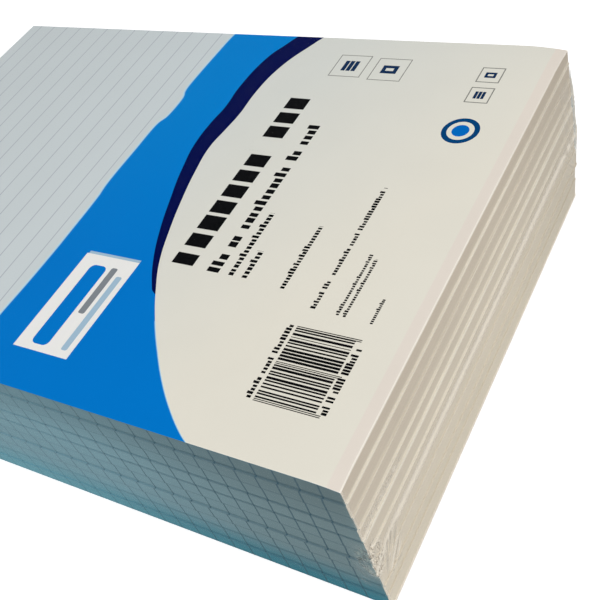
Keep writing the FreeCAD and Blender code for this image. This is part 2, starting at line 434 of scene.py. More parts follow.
def plateMask(tree, x, y, centreX, centreY, halfWidth, halfHeight, corner=0.0001):
    return useGroup(tree, plate, {
        "X": x, "Y": y, "Centre X": centreX, "Centre Y": centreY,
        "Half Width": halfWidth, "Half Height": halfHeight, "Corner": corner})["Mask"]


# The card's big fields: ruled sheet, blue, navy sweep and off-white
def printFields(tree, x, y):
    ink = cardInk
    look = cardLook
    sheetLine = curveThrough(tree, x, sheetEdge)
    blueLine = curveThrough(tree, x, blueFoot)
    paleLineAndHighlight = curveThrough(tree, x, paleEdge)

    # Thin grey lines of the ruled sheet
    slanted = calc(tree, "MULTIPLY_ADD", x, -ruledPicture["slope"], y)
    fromFirst = minus(tree, slanted, ruledPicture["first"])
    ease = calc(tree, "MULTIPLY_ADD", fromFirst, -ruledPicture["spread"], 1.0)
    offLine = fromNearest(tree, times(tree, fromFirst, ease), ruledPicture["pitch"])
    onLine = ramp(tree, offLine, ruledPicture["width"], 0.1)
    ruled = paint(tree, ink["ruledField"], ink["ruledLine"], onLine)

    aboveSheet = minus(tree, y, sheetLine)
    abovePale = minus(tree, y, paleLineAndHighlight)
    aboveNavy = minus(tree, y, larger(tree, blueLine, paleLineAndHighlight))
    leftOfTip = isBelow(tree, x, look["tip"])
    # painted shade: the off-white turns cooler and darker away from the near foot corner
    farShade = ramp(tree, calc(tree, "MULTIPLY_ADD", x, look["shadeLean"], y), *look["shadeRun"], smooth=False)
    offWhite = paint(tree, ink["offWhite"], ink["offWhiteFarShade"], farShade)
    blue = paint(tree, ink["blue"], ink["blueFar"], ramp(tree, x, *look["blueRun"], smooth=False))
    onPaint = isAbove(tree, abovePale, 0.0)
    colour = paint(tree, offWhite, ink["navy"], onPaint)
    blueMask = larger(tree, isAbove(tree, aboveNavy, 0.0), times(tree, leftOfTip, onPaint))
    colour = paint(tree, colour, blue, blueMask)
    colour = paint(tree, colour, ruled, isAbove(tree, aboveSheet, 0.0))

    # A hairline of paler ink where a pale field meets the blue
    sheetHair = ramp(tree, calc(tree, "ABSOLUTE", aboveSheet), *look["sheetHair"])
    colour = paint(tree, colour, ink["halo"], sheetHair)
    paleHair = ramp(tree, calc(tree, "ABSOLUTE", abovePale), *look["paleHair"])
    return paint(tree, colour, ink["halo"], times(tree, leftOfTip, paleHair))


# A white plate with three plain bars
def printPlate(tree, colour, x, y):
    ink = cardInk
    at = whitePlate
    backMask = plateMask(tree, x, y, at["x"] + at["backShift"], at["y"] - at["backTrim"],
                         at["halfWidth"], at["halfHeight"] - at["backTrim"])
    colour = paint(tree, colour, ink["platePale"], backMask)
    frontMask = plateMask(tree, x, y, at["x"], at["y"], at["halfWidth"], at["halfHeight"])
    colour = paint(tree, colour, ink["plateWhite"], frontMask)
    for name, shiftX, shiftY, halfWidth, halfHeight in at["bars"]:
        mask = plateMask(tree, x, y, at["x"] + shiftX, at["y"] + shiftY, halfWidth, halfHeight,
                         halfHeight * 0.6)
        colour = paint(tree, colour, ink[name], mask)
    return colour


# Thin square outlines, each with a page or a small stack of bars in it
def printSquares(tree, colour, x, y):
    ink = cardInk
    for centreX, centreY, half, line, filling in squares:
        def shareMask(share, level=0.0):
            return plateMask(tree, x, y, centreX, centreY + level * half, half * share[0], half * share[1])

        outer = plateMask(tree, x, y, centreX, centreY, half, half)
        inner = plateMask(tree, x, y, centreX, centreY, half - line, half - line)
        colour = paint(tree, colour, ink["boxLine"], minus(tree, outer, inner))
        if filling == "page":
            page = minus(tree, shareMask(squareMarks["page"]), shareMask(squareMarks["pageInside"]))
            colour = paint(tree, colour, ink["mark"], page)
        else:
            for level in squareMarks["barLevels"]:
                colour = paint(tree, colour, ink["mark"], shareMask(squareMarks["bar"], level))
    return colour


# A ring round a plain disc: a plate that is all corner is round
def printRoundMark(tree, colour, x, y):
    at = roundMark
    for name, part in (("ring", "outer"), ("offWhite", "inner"), ("disc", "disc")):
        mask = plateMask(tree, x, y, at["x"], at["y"], at[part], at[part], at[part])
        colour = paint(tree, colour, cardInk[name], mask)
    return colour


# Made-up bars: of each four modules one is inked and one bare, and two go by a draw. The guard
# bars, at the ends and in the middle, are longer
def printBarcode(tree, colour, x, y):
    at = barcode
    along = calc(tree, "DIVIDE", minus(tree, x, at["left"]), at["module"])
    cell = calc(tree, "FLOOR", along)
    count = round((at["right"] - at["left"]) / at["module"])
    fromEnd = calc(tree, "MINIMUM", cell, minus(tree, float(count - 1), cell))
    fromMiddle = calc(tree, "ABSOLUTE", minus(tree, cell, float(count // 2)))
    guard = isBelow(tree, calc(tree, "MINIMUM", fromEnd, fromMiddle), at["guardReach"])
    even = isBelow(tree, calc(tree, "MODULO", fromEnd, 2.0), 0.5)
    ofFour = calc(tree, "ABSOLUTE", minus(tree, calc(tree, "MODULO", cell, 4.0), 2.0))
    chance = times(tree, ofFour, at["chance"])
    drawn = isBelow(tree, drawFor(tree, plus(tree, cell, at["seed"])), chance)
    inked = paint(tree, drawn, even, guard)
    foot = ramp(tree, guard, 0.0, 1.0, at["foot"], at["guardFoot"], smooth=False)
    mask = isAbove(tree, inked, 0.5)
    for limit in (isAbove(tree, y, foot), isBelow(tree, y, at["top"]),
                  isAbove(tree, x, at["left"]), isBelow(tree, x, at["right"])):
        mask = times(tree, mask, limit)
    return paint(tree, colour, cardInk["black"], mask)


def makePrintedCard():
    material, tree, shader, place, normal = newMaterial("printedCard")
    ink = cardInk
    look = cardLook
    x, y, z = split(tree, place)
    colour = printFields(tree, x, y)
    # the lip band: a pinker tint, with painted shade of the bent-down edge
    colour = paint(tree, colour, ink["lip"], ramp(tree, y, *look["lipRun"]))
    for printMark in (printPlate, printSquares, printRoundMark, printBarcode):
        colour = printMark(tree, colour, x, y)
    for row in wordRows:
        words = useGroup(tree, textBars, {"X": x, "Y": y, **dict(zip(rowParts, row))})
        colour = paint(tree, colour, ink["black"], words["Mask"])
    # painted highlight along the card's foot edge, on its top and on its foot face
    footEdgeHighlight = paint(tree, ink["footEdgeHighlight"], ink["footEdgeHighlightFar"], ramp(tree, x, *look["footHighlightFade"]))
    colour = paint(tree, colour, footEdgeHighlight, ramp(tree, y, *look["footRun"]))
    normalX, normalY, normalZ = split(tree, normal)
    edge = paint(tree, ink["otherEdge"], footEdgeHighlight, isBelow(tree, normalY, -0.5))
    # the near long edge, painted dark as shade
    edge = paint(tree, edge, ink["longEdgeShade"], isBelow(tree, normalX, -0.5))
    colour = paint(tree, edge, colour, isAbove(tree, normalZ, 0.5))
    finishPaper(tree, shader, place, look, colour)
    return material


# Sheets, boards and gum
paperLook = {
    "padPitch": 7.32,
    "firstLine": 0.32,  # height of the lowest board's middle
    "footTopShade": sRgb(205, 193, 176),  # cut paper at the foot, painted warm as lit, browner and darker at the top of the pack as painted shade under the card
    # lighter low down: painted light against the shade near the floor
    "footLowLit": sRgb(230, 221, 203),
    "footAwayShade": 0.88,  # how much darker the foot's far end is, as painted shade
    "sideNearShade": sRgb(111, 132, 136),  # cut paper at a long side, painted dark teal as shade, near the foot and away from it
    "sideFarShade": sRgb(120, 155, 166),
    "sideTopShade": 0.75,  # how much darker the top pad is there, as painted shade under the card
    "lowNearShade": sRgb(54, 121, 137),  # the lowest pad's long side, a deeper teal: painted shade with a painted reflection of blue
    "lowFarShade": sRgb(108, 163, 177),
    # the dark line between pads is painted shade; the ruled lines' ink streaks share its colour
    "line": sRgb(62, 88, 100),
    "lineHalf": 1.1, "lineStrength": 0.42,
    "ledgeLightTone": 0.95,  # how much lighter or darker than the rest a narrow ledge is: painted light and shade against how the light falls on it
    # a long side's ledges and board faces, painted lighter against the shade in their recesses
    "sideLedgeLightTone": 1.45, "sideBoardLightTone": 1.5, "ledgeWidth": 1.6,
    # pale lines between pads: partly the boards' paler edge, partly painted highlight where their ledges
    # catch the light
    "paleLineAndHighlight": sRgb(252, 246, 232),
    "paleReach": 1.7,  # how far a pale line fades into the paper beside it
    "top": sRgb(236, 236, 232),
    "firstRule": 8.5,  # the ruled lines' ends, from the foot edge
    "rulePitch": 7.7, "ruleWidth": 0.5,
    "spreadFrom": 50.0,  # past this the photo's lines stand a little wider apart
    "spreadPitch": 8.15,
    "layerDepth": 0.18,
    "grain": (0.03, 0.04), "rough": (0.72, 0.84), "relief": (0.35, 0.00012), "gloss": 0.1,
}

# How far each pad's ruled lines stand from the middle pad's, by the pad's place from below
ruleShift = [(0, 0.3), (1, 0.8), (2, 1.0), (3, 1.0), (4, 0.2), (5, 0.0), (6, 0.1), (7, 0.0),
             (8, -0.4), (9, -0.9)]

# How pale the line between two pads is at the foot, by height: partly the boards' paler edge, partly
# painted highlight where their ledges catch the light
paleLinesAndHighlights = [(0.3, 0.0), (7.6, 0.02), (15.0, 0.08), (22.3, 0.2), (29.6, 0.32), (36.9, 0.62),
             (44.2, 0.74), (51.6, 0.62), (58.9, 0.38), (66.2, 0.68)]


def fromLine(tree, z):
    look = paperLook
    return fromNearest(tree, minus(tree, z, look["firstLine"]), look["padPitch"])


# Cut edges at the foot, painted warm as lit, with painted shade at the top and far end, and the pale lines
# between pads, soft and uneven: partly the boards' paler edge, partly painted highlight
def footPaper(tree, place, x, z):
    look = paperLook
    colour = paint(tree, look["footLowLit"], look["footTopShade"], ramp(tree, z, 0.0, 74.0, smooth=False))
    patchy = noiseAt(tree, scaled(tree, place, 0.03, 0.03, 0.4), 1.0, 2.0, 0.5)
    shows = times(tree, curveThrough(tree, z, paleLinesAndHighlights), ramp(tree, patchy, 0.3, 0.7, 0.8, 1.1))
    onLine = ramp(tree, fromLine(tree, z), look["paleReach"], 0.2)
    colour = paint(tree, colour, look["paleLineAndHighlight"], times(tree, shows, onLine))
    return toned(tree, colour, ramp(tree, x, 10.0, 105.0, 1.0, look["footAwayShade"]))


# A long side's paper, painted dark teal as shade, with a thin dark line of painted shade where one pad
# lies on the next
def shadedSidePaper(tree, y, z, lined=True):
    look = paperLook
    colour = paint(tree, look["sideNearShade"], look["sideFarShade"], ramp(tree, y, -148.0, -20.0))
    low = paint(tree, look["lowNearShade"], look["lowFarShade"], ramp(tree, y, -130.0, 30.0))
    colour = paint(tree, colour, low, ramp(tree, z, 23.0, 1.0))
    colour = toned(tree, colour, ramp(tree, z, 45.0, 74.0, 1.0, look["sideTopShade"]))
    # a board's long side is painted lighter against the shade in its recess
    if not lined:
        return toned(tree, colour, look["sideBoardLightTone"])
    onLine = ramp(tree, fromLine(tree, z), look["lineHalf"], look["lineHalf"] * 0.3)
    shows = times(tree, lineShows(tree, y, z), look["lineStrength"])
    return paint(tree, colour, look["line"], times(tree, onLine, shows))


# The painted shade lines and the ruled lines' dark streaks on a long side show most near the foot and the
# top
def lineShows(tree, y, z):
    along = ramp(tree, y, -140.0, 30.0, 1.0, 0.4)
    return times(tree, along, ramp(tree, z, 0.0, 40.0, 0.85, 1.0))


# 1 on a face that looks up or down, near a long side or near the foot
def ledgeMasks(tree, place, normal):
    look = paperLook
    x, y, z = split(tree, place)
    normalX, normalY, normalZ = split(tree, normal)
    level = isAbove(tree, calc(tree, "ABSOLUTE", normalZ), 0.6)
    fromSide = minus(tree, sheetSize["halfX"], calc(tree, "ABSOLUTE", x))
    fromFoot = plus(tree, y, sheetSize["halfY"])
    atSide = isBelow(tree, fromSide, look["ledgeWidth"])
    atFoot = isBelow(tree, fromFoot, calc(tree, "MINIMUM", fromSide, look["ledgeWidth"]))
    return level, times(tree, level, atSide), times(tree, level, atFoot)


# The ruled lines reach the long sides, so their ends make upright streaks there, pad by pad
def ruleStreaks(tree, place, y, z):
    look = paperLook
    pad = calc(tree, "FLOOR", calc(tree, "DIVIDE", z, look["padPitch"]))
    wander = noiseAt(tree, scaled(tree, place, 0, 0.04, 0.3), 1.0)
    shift = calc(tree, "MULTIPLY_ADD", minus(tree, wander, 0.5), 0.7,
                 curveThrough(tree, pad, ruleShift))
    fromFirst = plus(tree, y, sheetSize["halfY"] - look["firstRule"])
    fromFirst = minus(tree, fromFirst, shift)
    past = larger(tree, minus(tree, fromFirst, look["spreadFrom"]), 0.0)
    ease = 1 - look["rulePitch"] / look["spreadPitch"]
    evened = calc(tree, "MULTIPLY_ADD", past, -ease, fromFirst)
    nearest = fromNearest(tree, evened, look["rulePitch"])
    reached = isAbove(tree, fromFirst, -2.0)
    return times(tree, ramp(tree, nearest, look["ruleWidth"], 0.1), reached)


# A block of sheets or a board: its foot colour, painted as lit, on faces across the pack, its long side's
# colour, painted as shade, on the long sides, its top colour on level faces, and ledges toned lighter or
# darker as painted light and shade
def blockPaint(tree, place, normal, foot, side, level):
    look = paperLook
    normalX, normalY, normalZ = split(tree, normal)
    onSide = isAbove(tree, calc(tree, "ABSOLUTE", normalX), 0.8)
    onLevel, atSide, atFoot = ledgeMasks(tree, place, normal)
    colour = paint(tree, foot, side, onSide)
    colour = paint(tree, colour, level, onLevel)
    colour = paint(tree, colour, toned(tree, side, look["sideLedgeLightTone"]), atSide)
    return paint(tree, colour, toned(tree, foot, look["ledgeLightTone"]), atFoot)


def makeBondPaper():
    material, tree, shader, place, normal = newMaterial("bondPaper")
    look = paperLook
    x, y, z = split(tree, place)
    layers = useGroup(tree, edgeLayers, {"Vector": place, "Pad Pitch": look["padPitch"],
                                         "Depth": look["layerDepth"]})
    broken = ramp(tree, layers["Height"], 0.3, 0.6, 0.75, 1.0)
    streak = times(tree, ruleStreaks(tree, place, y, z), broken)
    side = paint(tree, shadedSidePaper(tree, y, z), look["line"],
                 times(tree, streak, lineShows(tree, y, z)))
    colour = blockPaint(tree, place, normal, footPaper(tree, place, x, z), side, look["top"])
    finishPaper(tree, shader, place, look, toned(tree, colour, layers["Tone"]), layers["Height"])
    return material


boardLook = {"lowest": sRgb(246, 240, 230), "lowestTop": 1.0, "plain": sRgb(214, 204, 186),
             "grain": (0.08, 0.05), "rough": (0.7, 0.85), "relief": (0.4, 0.0001), "gloss": 0.1}


def makeBackingBoard():
    material, tree, shader, place, normal = newMaterial("backingBoard")
    look = boardLook
    x, y, z = split(tree, place)
    # the lowest board's foot, painted lighter against the shade near the floor
    lowest = isBelow(tree, z, look["lowestTop"])
    foot = paint(tree, footPaper(tree, place, x, z), look["lowest"], lowest)
    side = shadedSidePaper(tree, y, z, lined=False)
    finishPaper(tree, shader, place, look, blockPaint(tree, place, normal, foot, side, look["plain"]))
    return material


gumLook = {"colour": sRgb(228, 224, 212), "thin": sRgb(206, 204, 196), "rough": (0.5, 0.32),
           "relief": (0.5, 0.0003)}


def makePaddingGum():
    material, tree, shader, place, normal = newMaterial("paddingGum")
    look = gumLook
    brushed = noiseAt(tree, scaled(tree, place, 0.04, 0.04, 1.3), 1.0, 3.0, 0.6)
    clots = noiseAt(tree, place, 0.5, 2.0, 0.5)
    body = plus(tree, times(tree, brushed, 0.7), times(tree, clots, 0.3))
    wireAll(tree, shader, {
        "Base Color": paint(tree, look["thin"], look["colour"], ramp(tree, body, 0.35, 0.6)),
        "Roughness": ramp(tree, body, 0.3, 0.7, *look["rough"]),
        "Normal": bump(tree, body, *look["relief"]),
    })
    return material


# The clear film: unseen where it is tight, and milky where it is gathered, folded or welded, with painted
# highlights and painted shade on its curls, wrinkles and folds, and a painted highlight down its corners
# on the near long side
filmLook = {
    "body": sRgb(206, 198, 182),
    # painted highlight on curls, folds and corners, and the weld's milky band
    "paleHighlightAndMilk": sRgb(255, 247, 232),
    # painted shade in curls and folds
    "filmShade": sRgb(126, 117, 104),
    "sideShadeTint": (0.44, 0.55, 0.57),  # painted shade: what is left of those colours at the dark long side in view
    "sideClear": 0.5,
    "tightEdge": 0.2,  # how solid each kind of film looks, from 0 to 1
    "hazeAndHighlight": 0.6,
    "fold": 0.5,
    "curl": 0.66,
    "turnedEdge": 0.8,
    "curlGrain": (0.34, 2.0, 0.5, 1.2),  # a noise's scale, detail, roughness and distortion
    "curlHighlight": (0.46, 0.035),  # the noise level that a curl's painted highlight follows, and half its width
    # the noise level and half width of a curl's painted shade
    "curlShade": (0.54, 0.04),
    "relief": (0.5, 0.0012),
    "rough": (0.22, 0.6),
}


# Thin wandering lines where a twisted noise passes a level, as on film shrunk into small folds; they carry
# painted highlight and painted shade
def curlLines(tree, noiseLevel, level, width):
    off = calc(tree, "ABSOLUTE", minus(tree, noiseLevel, level))
    return ramp(tree, off, width, width * 0.25)


def makeClearFilm():
    material, tree, shader, place, normal = newMaterial("clearFilm")
    look = filmLook
    hazeAndHighlight, fold, wad, veil = [addNode(tree, "Attribute", {}, "Fac", attribute_name=name)
                             for name in ("hazeAndHighlight", "fold", "wad", "veil")]
    level = noiseAt(tree, place, *look["curlGrain"])
    curling = ramp(tree, wad, 0.1, 0.6)
    curlHighlight = times(tree, curlLines(tree, level, *look["curlHighlight"]), curling)
    curlShade = times(tree, curlLines(tree, level, *look["curlShade"]), curling)
    # a fold's painted highlight where it is above 0, and its painted shade where below
    foldHighlight = larger(tree, fold, 0.0)
    foldShade = larger(tree, times(tree, fold, -1.0), 0.0)
    paleHighlightAndMilk = larger(tree, larger(tree, curlHighlight, foldHighlight), hazeAndHighlight)
    filmShade = larger(tree, curlShade, foldShade)
    colour = paint(tree, look["body"], look["paleHighlightAndMilk"], paleHighlightAndMilk)
    colour = paint(tree, colour, look["filmShade"], filmShade)
    normalX, normalY, normalZ = split(tree, normal)
    # painted shade on the film over the long side
    sideways = ramp(tree, normalX, -0.4, -0.9)
    colour = paint(tree, colour, tinted(tree, colour, look["sideShadeTint"]), sideways)
    thinner = ramp(tree, sideways, 0.0, 1.0, 1.0, look["sideClear"], smooth=False)

    turned = addNode(tree, "LayerWeight", {"Blend": 0.5}, "Facing")
    alpha = times(tree, calc(tree, "POWER", turned, 8.0), look["tightEdge"])
    turnedWad = times(tree, calc(tree, "POWER", turned, 2.0), wad)
    turnedWad = times(tree, turnedWad, thinner)
    hazeAndHighlight = times(tree, hazeAndHighlight, thinner)
    curls = larger(tree, curlHighlight, curlShade)
    folds = larger(tree, foldHighlight, foldShade)
    for shows, strength in ((hazeAndHighlight, look["hazeAndHighlight"]), (folds, look["fold"]), (curls, look["curl"]),
                            (turnedWad, look["turnedEdge"]), (veil, 1.0)):
        alpha = larger(tree, alpha, times(tree, shows, strength))
    wireAll(tree, shader, {
        "Base Color": colour,
        "Alpha": calc(tree, "MINIMUM", alpha, 1.0),
        "Normal": bump(tree, times(tree, level, wad), *look["relief"]),
        "Roughness": ramp(tree, hazeAndHighlight, 0.0, 1.0, *look["rough"], smooth=False),
        "IOR": 1.45,
    })
    return material


# The film's inner face: it adds nothing that the outer one doesn't show
def makeFilmLining():
    material, tree, shader, place, normal = newMaterial("filmLining")
    wireAll(tree, shader, {"Base Color": filmLook["paleHighlightAndMilk"], "Alpha": 0.0, "Specular IOR Level": 0.0})
    return material


print("materials")
printedCard = makePrintedCard()
bondPaper = makeBondPaper()
backingBoard = makeBackingBoard()
paddingGum = makePaddingGum()
clearFilm = makeClearFilm()
filmLining = makeFilmLining()


# Modelling helpers

# A block between two corners, with its place in its mesh
def startBlock(name, low, high):
    bpy.ops.object.select_all(action="DESELECT")
    bpy.ops.mesh.primitive_cube_add(size=1, location=(low + high) / 2)
    block = bpy.context.active_object
    block.name = name
    block.data.name = name
    block.scale = high - low
    bpy.ops.object.transform_apply(location=True, rotation=True, scale=True)
    return block


# Cuts right through the block, at each place along each axis
def cutBlock(block, places):
    bpy.ops.object.mode_set(mode="EDIT")
    for axis, stops in enumerate(places):
        direction = [0.0, 0.0, 0.0]
        direction[axis] = 1.0
        for stop in stops:
            point = [0.0, 0.0, 0.0]
            point[axis] = stop * mm
            bpy.ops.mesh.select_all(action="SELECT")
            bpy.ops.mesh.bisect(plane_co=point, plane_no=direction, use_fill=False)
    bpy.ops.object.mode_set(mode="OBJECT")


def finishModifiers(piece):
    for modifier in list(piece.modifiers):
        bpy.ops.object.modifier_apply(modifier=modifier.name)


# How the film draws the card and the top sheets down at the two foot corners, in millimetres
drawnCorners = {
    "corners": [(+1, 1.3, 16.0), (-1, 0.75, 10.0)],  # side, drop, reach
    "fall": 1.3,  # how sharply they drop
    "lipDrop": 0.18,
    "lipReach": 4.6,
}


# How far the top surface lies below its flat level at a place on it
def drawnDown(x, y):
    fromFoot = y + sheetSize["halfY"]
    drop = 0.0
    for side, deepest, reach in drawnCorners["corners"]:
        away = (sheetSize["halfX"] - side * x) + fromFoot
        if away < reach:
            drop = max(drop, deepest * (1 - max(away, 0) / reach) ** drawnCorners["fall"])
    lip = 1 - max(fromFoot, 0) / drawnCorners["lipReach"]
    return drop + drawnCorners["lipDrop"] * max(lip, 0)


# Cuts across and along the sheets, close at the drawn corners
cornerCuts = (
    [-104.3, -103.4, -102.3, -101, -99.5, -97.8, -96,
     88, 91, 94, 96.5, 98.5, 100.2, 101.5, 102.7, 103.7, 104.5],
    [-147.9, -147.2, -146.4, -145.5, -144.7, -143.9, -143, -142, -140.5, -138.5, -136, -133],
)


# Lowers what lies above a level, as the film draws it down
def lowerTop(block, above):
    for vertex in block.data.vertices:
        if vertex.co.z > above * mm:
            vertex.co.z -= drawnDown(vertex.co.x / mm, vertex.co.y / mm) * mm


sheetWork = {"cardThick": 0.3, "cardRound": 0.07, "lowered": 1.0}


def makeCard():
    low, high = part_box("top_card")
    low.z = high.z - sheetWork["cardThick"] * mm
    card = startBlock("printed_card", low, high)
    cutBlock(card, cornerCuts)
    lowerTop(card, 0.0)
    card.modifiers.new("rounded", "BEVEL").width = sheetWork["cardRound"] * mm
    card.modifiers["rounded"].segments = 2
    finishModifiers(card)
    bpy.ops.object.shade_smooth_by_angle(angle=math.radians(30))
    card.data.materials.append(printedCard)
    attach(card, "root")
    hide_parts("top_card")


def makeTopSheets():
    low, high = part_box("pad_01_sheets")
    sheets = startBlock("top_pad_sheets", low, high)
    cutBlock(sheets, cornerCuts)
    lowerTop(sheets, high.z / mm - sheetWork["lowered"])
    bpy.ops.object.shade_smooth_by_angle(angle=math.radians(30))
    sheets.data.materials.append(bondPaper)
    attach(sheets, "root")
    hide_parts("pad_01_sheets")


# The shrink film
film = {
    "halfX": 105.45,
    "foot": -149.0,
    "head": 149.55,
    "top": 73.7,
    "edgeRound": 0.4,
    "wall": 0.05,
    "seamLevel": 29.4,
    "seamHeight": 0.6,
    "seamReach": 0.05,
    "hazeLevel": 31.0,  # the weld's milky band
    "hazeHalf": 4.2,
    "sideHaze": 0.5,  # how much of it shows on the long side
    "cornerHighlight": 0.72,  # a painted highlight down the corners
    "cornerHighlightRun": 1.7,
    "wrinkleLevel": 48.6,  # a strip of small wrinkles, shown by curls of painted highlight and shade, that runs from the near foot corner
    "wrinkleHalf": 4.6,
    "wrinkleFrom": 4.0,
    "wrinkleTo": 38.0,
    "wrinkles": 0.5,
    "creaseLevel": 45.1,  # a sharp fold beside the wad, with painted highlight above and painted shade below
    "creaseSlope": 0.16,
    "creaseHalf": 1.1,
    "creaseRun": 8.0,
    "creaseFade": 2.5,
    "footRun": 19.0,  # the gathers' reach along the foot or the head, and along a long side
    "sideRun": 11.0,
    "swellPitch": 21.0,  # up and down, the gathered film stands out in lobes
    "swell": 0.4,
    "spread": 4.0,  # how far a gather pulls the film beside its corner out with it
    "drawnFrom": 1.0,  # depth under the top at which the film starts to be drawn down, and is fully so
    "drawnFull": 0.45,
}

# The crumple of a gather's wad: noise steps in a millimetre, and how deep it goes from its rest
crumple = {"grain": 0.36, "fineGrain": 2.3, "fineShare": 0.5, "rest": 0.7, "depth": 2.0}

# Pleats fan out past a wad, under the weld or under the gather's top, shown by their shape and by painted
# highlight and shade. They have noise steps in a radian and a millimetre, a depth, a contrast for that
# painting, and places where they start to show
pleats = {"fan": 11.0, "outward": 0.05, "fineShare": 0.4, "fineFan": 2.1, "depth": 0.3, "contrast": 3.2,
          "start": 6.5, "foot": 16.0, "sideShare": 0.5}

# The gathers. Each has its corner, how far it stands out, its middle and its reach up and down,
# how far its tight wad reaches along the foot and along a long side, how crumpled, curled,
# pleated and veiled it is, how wide its veil is, and the heights from and to which its pleats fan
nearGather = {"reach": 1.5, "level": 33.5, "above": 12.0, "below": 16.0, "footCore": 9.5,
              "sideCore": 7.0, "crumple": 0.75, "curls": 1.0, "pleats": 1.0, "veil": 0.24, "veilRun": 9.0,
              "fanLevel": 8.0, "pleatTop": 31.0}
farGather = {"reach": 0.62, "level": 38.0, "above": 29.0, "below": 21.0, "footCore": 9.0,
             "sideCore": 6.0, "crumple": 0.16, "curls": 0.14, "pleats": 0.4, "veil": 0.85, "veilRun": 4.2,
             "fanLevel": 8.0, "pleatTop": 62.0}
gathers = {(-1, -1): nearGather, (+1, -1): farGather, (-1, +1): nearGather, (+1, +1): nearGather}

# The crushed lowest far foot corner, on the same plane as the pads' own, a clearance off
crushed = {"leg": 5.0, "rise": 17.0, "floor": 0.1, "share": 0.913}


def spaced(start, stop, step):
    count = max(int(round(abs(stop - start) / step)), 1)
    return [start + (stop - start) * index / count for index in range(count + 1)]


# Close cuts at the gathered corners, closest at the near foot one, and wide ones elsewhere: each
# run of them has its start, its end and its step in millimetres
def filmCuts():
    halfX, foot, head = film["halfX"], film["foot"], film["head"]
    footRun = film["footRun"] + 1
    sideRun = film["sideRun"] + 1
    edge = 0.7
    xs = spaced(-halfX + edge, -halfX + 12, 0.5) + spaced(-halfX + 12.7, -halfX + footRun, 0.8)
    xs += [-halfX + 28, -halfX + 32, -halfX + 36, -halfX + 40]
    xs += spaced(halfX - edge, halfX - footRun, 0.85)
    xs += spaced(-halfX + 46, halfX - footRun - 4, 8.0)
    ys = spaced(foot + edge, foot + 7, 0.5) + spaced(foot + 7.8, foot + sideRun, 0.9)
    ys += spaced(head - edge, head - sideRun, 1.0)
    ys += spaced(foot + sideRun + 4, head - sideRun - 4, 10.0)
    level = film["seamLevel"]
    half = film["seamHeight"] / 2
    zs = spaced(17.0, level - 1.0, 0.5) + spaced(level + 2.6, 47.0, 0.5) + spaced(48.2, 68.0, 1.1)
    zs += [level - half, level, level + half, level + 0.8, level + 1.4, level + 2.0]
    zs += [1.5, 3.5, 6, 9, 12, 14.5, 16, 71.5]
    return sorted(xs), sorted(ys), sorted(zs)


# 1 at 0, and smoothly down to 0 at 1
def smoothFall(value):
    value = min(max(value, 0.0), 1.0)
    return 1 - value * value * (3 - 2 * value)


def crumpledAt(x, y, z):
    coarse = noise.noise(Vector((x, y, z)) * crumple["grain"])
    fine = noise.noise(Vector((y, z, x)) * crumple["grain"] * crumple["fineGrain"])
    return crumple["rest"] - crumple["depth"] * abs(coarse + crumple["fineShare"] * fine)


# The pleats' height at a place, round 0, and how much of it shows there
def pleatedAt(gather, seed, z, along, run):
    rise = z - gather["fanLevel"]
    angle = math.atan2(rise, along + 1.0) * pleats["fan"]
    distance = math.hypot(rise, along + 1.0) * pleats["outward"]
    ripple = noise.noise(Vector((angle, distance, seed)))
    fine = noise.noise(Vector((angle * pleats["fineFan"], distance * 2, seed + 9)))
    shows = 1.0
    for hidden, fade in ((pleats["start"] - along, 3.5), (along - run + 6, 6),
                         (z - gather["pleatTop"] + 2, 3), (pleats["foot"] - z, 5)):
        shows *= smoothFall(hidden / fade)
    return ripple + pleats["fineShare"] * fine, shows


# The sharp fold beside a wad: painted highlight above its middle and painted shade below
def sharpAt(z, along):
    fromMiddle = z - film["creaseLevel"] - film["creaseSlope"] * along
    fade = film["creaseFade"]
    swing = math.sin(max(min(fromMiddle / film["creaseHalf"], 1.0), -1.0) * math.pi)
    return swing * smoothFall((along - film["creaseRun"] + fade) / fade)


# What a gather does to a point of the film: how far out it stands, its fold (painted highlight and shade),
# its wad and its veil
def gatherAt(corner, place, along, onFace):
    gather = gathers[corner]
    run = film["footRun"] if onFace else film["sideRun"]
    core = gather["footCore"] if onFace else gather["sideCore"]
    x, y, z = place
    above = z - gather["level"]
    upright = abs(above) / (gather["above"] if above > 0 else gather["below"])
    if along > run or upright > 1.3:
        return 0.0, 0.0, 0.0, 0.0
    lobes = 1 + film["swell"] * math.cos((z - film["seamLevel"]) * 2 * math.pi / film["swellPitch"])
    lift = gather["reach"] * smoothFall(upright) * lobes * (1 - along / run) ** 2
    wad = smoothFall((math.hypot(along / core, upright) - 0.3) / 0.7)
    lift += gather["crumple"] * wad * crumpledAt(x, y, z)
    veil = gather["veil"] * smoothFall(along / gather["veilRun"]) * smoothFall(upright * 2.4 - 1.4)
    ripple, shows = pleatedAt(gather, 3.0 + 2 * corner[0] + 5 * corner[1], z, along, run)
    shows *= gather["pleats"] * (1.0 if onFace else pleats["sideShare"])
    lift += pleats["depth"] * ripple * shows
    # the fold is painted: highlight where it is above 0, shade where below
    fold = max(min(ripple * pleats["contrast"], 1.0), -1.0) * shows
    if onFace and along < film["creaseRun"]:
        fold += gather["crumple"] * sharpAt(z, along)
    return max(lift, 0.0), fold, wad * gather["curls"], veil


# A strip of small wrinkles runs along the foot from the near corner, shown by curls of painted highlight
# and shade
def wrinkledAt(x, z):
    away = film["halfX"] + x
    strip = smoothFall(abs(z - film["wrinkleLevel"]) / film["wrinkleHalf"])
    ends = smoothFall((away - film["wrinkleTo"] + 14) / 14) * smoothFall((film["wrinkleFrom"] - away) / 4)
    return film["wrinkles"] * strip * ends


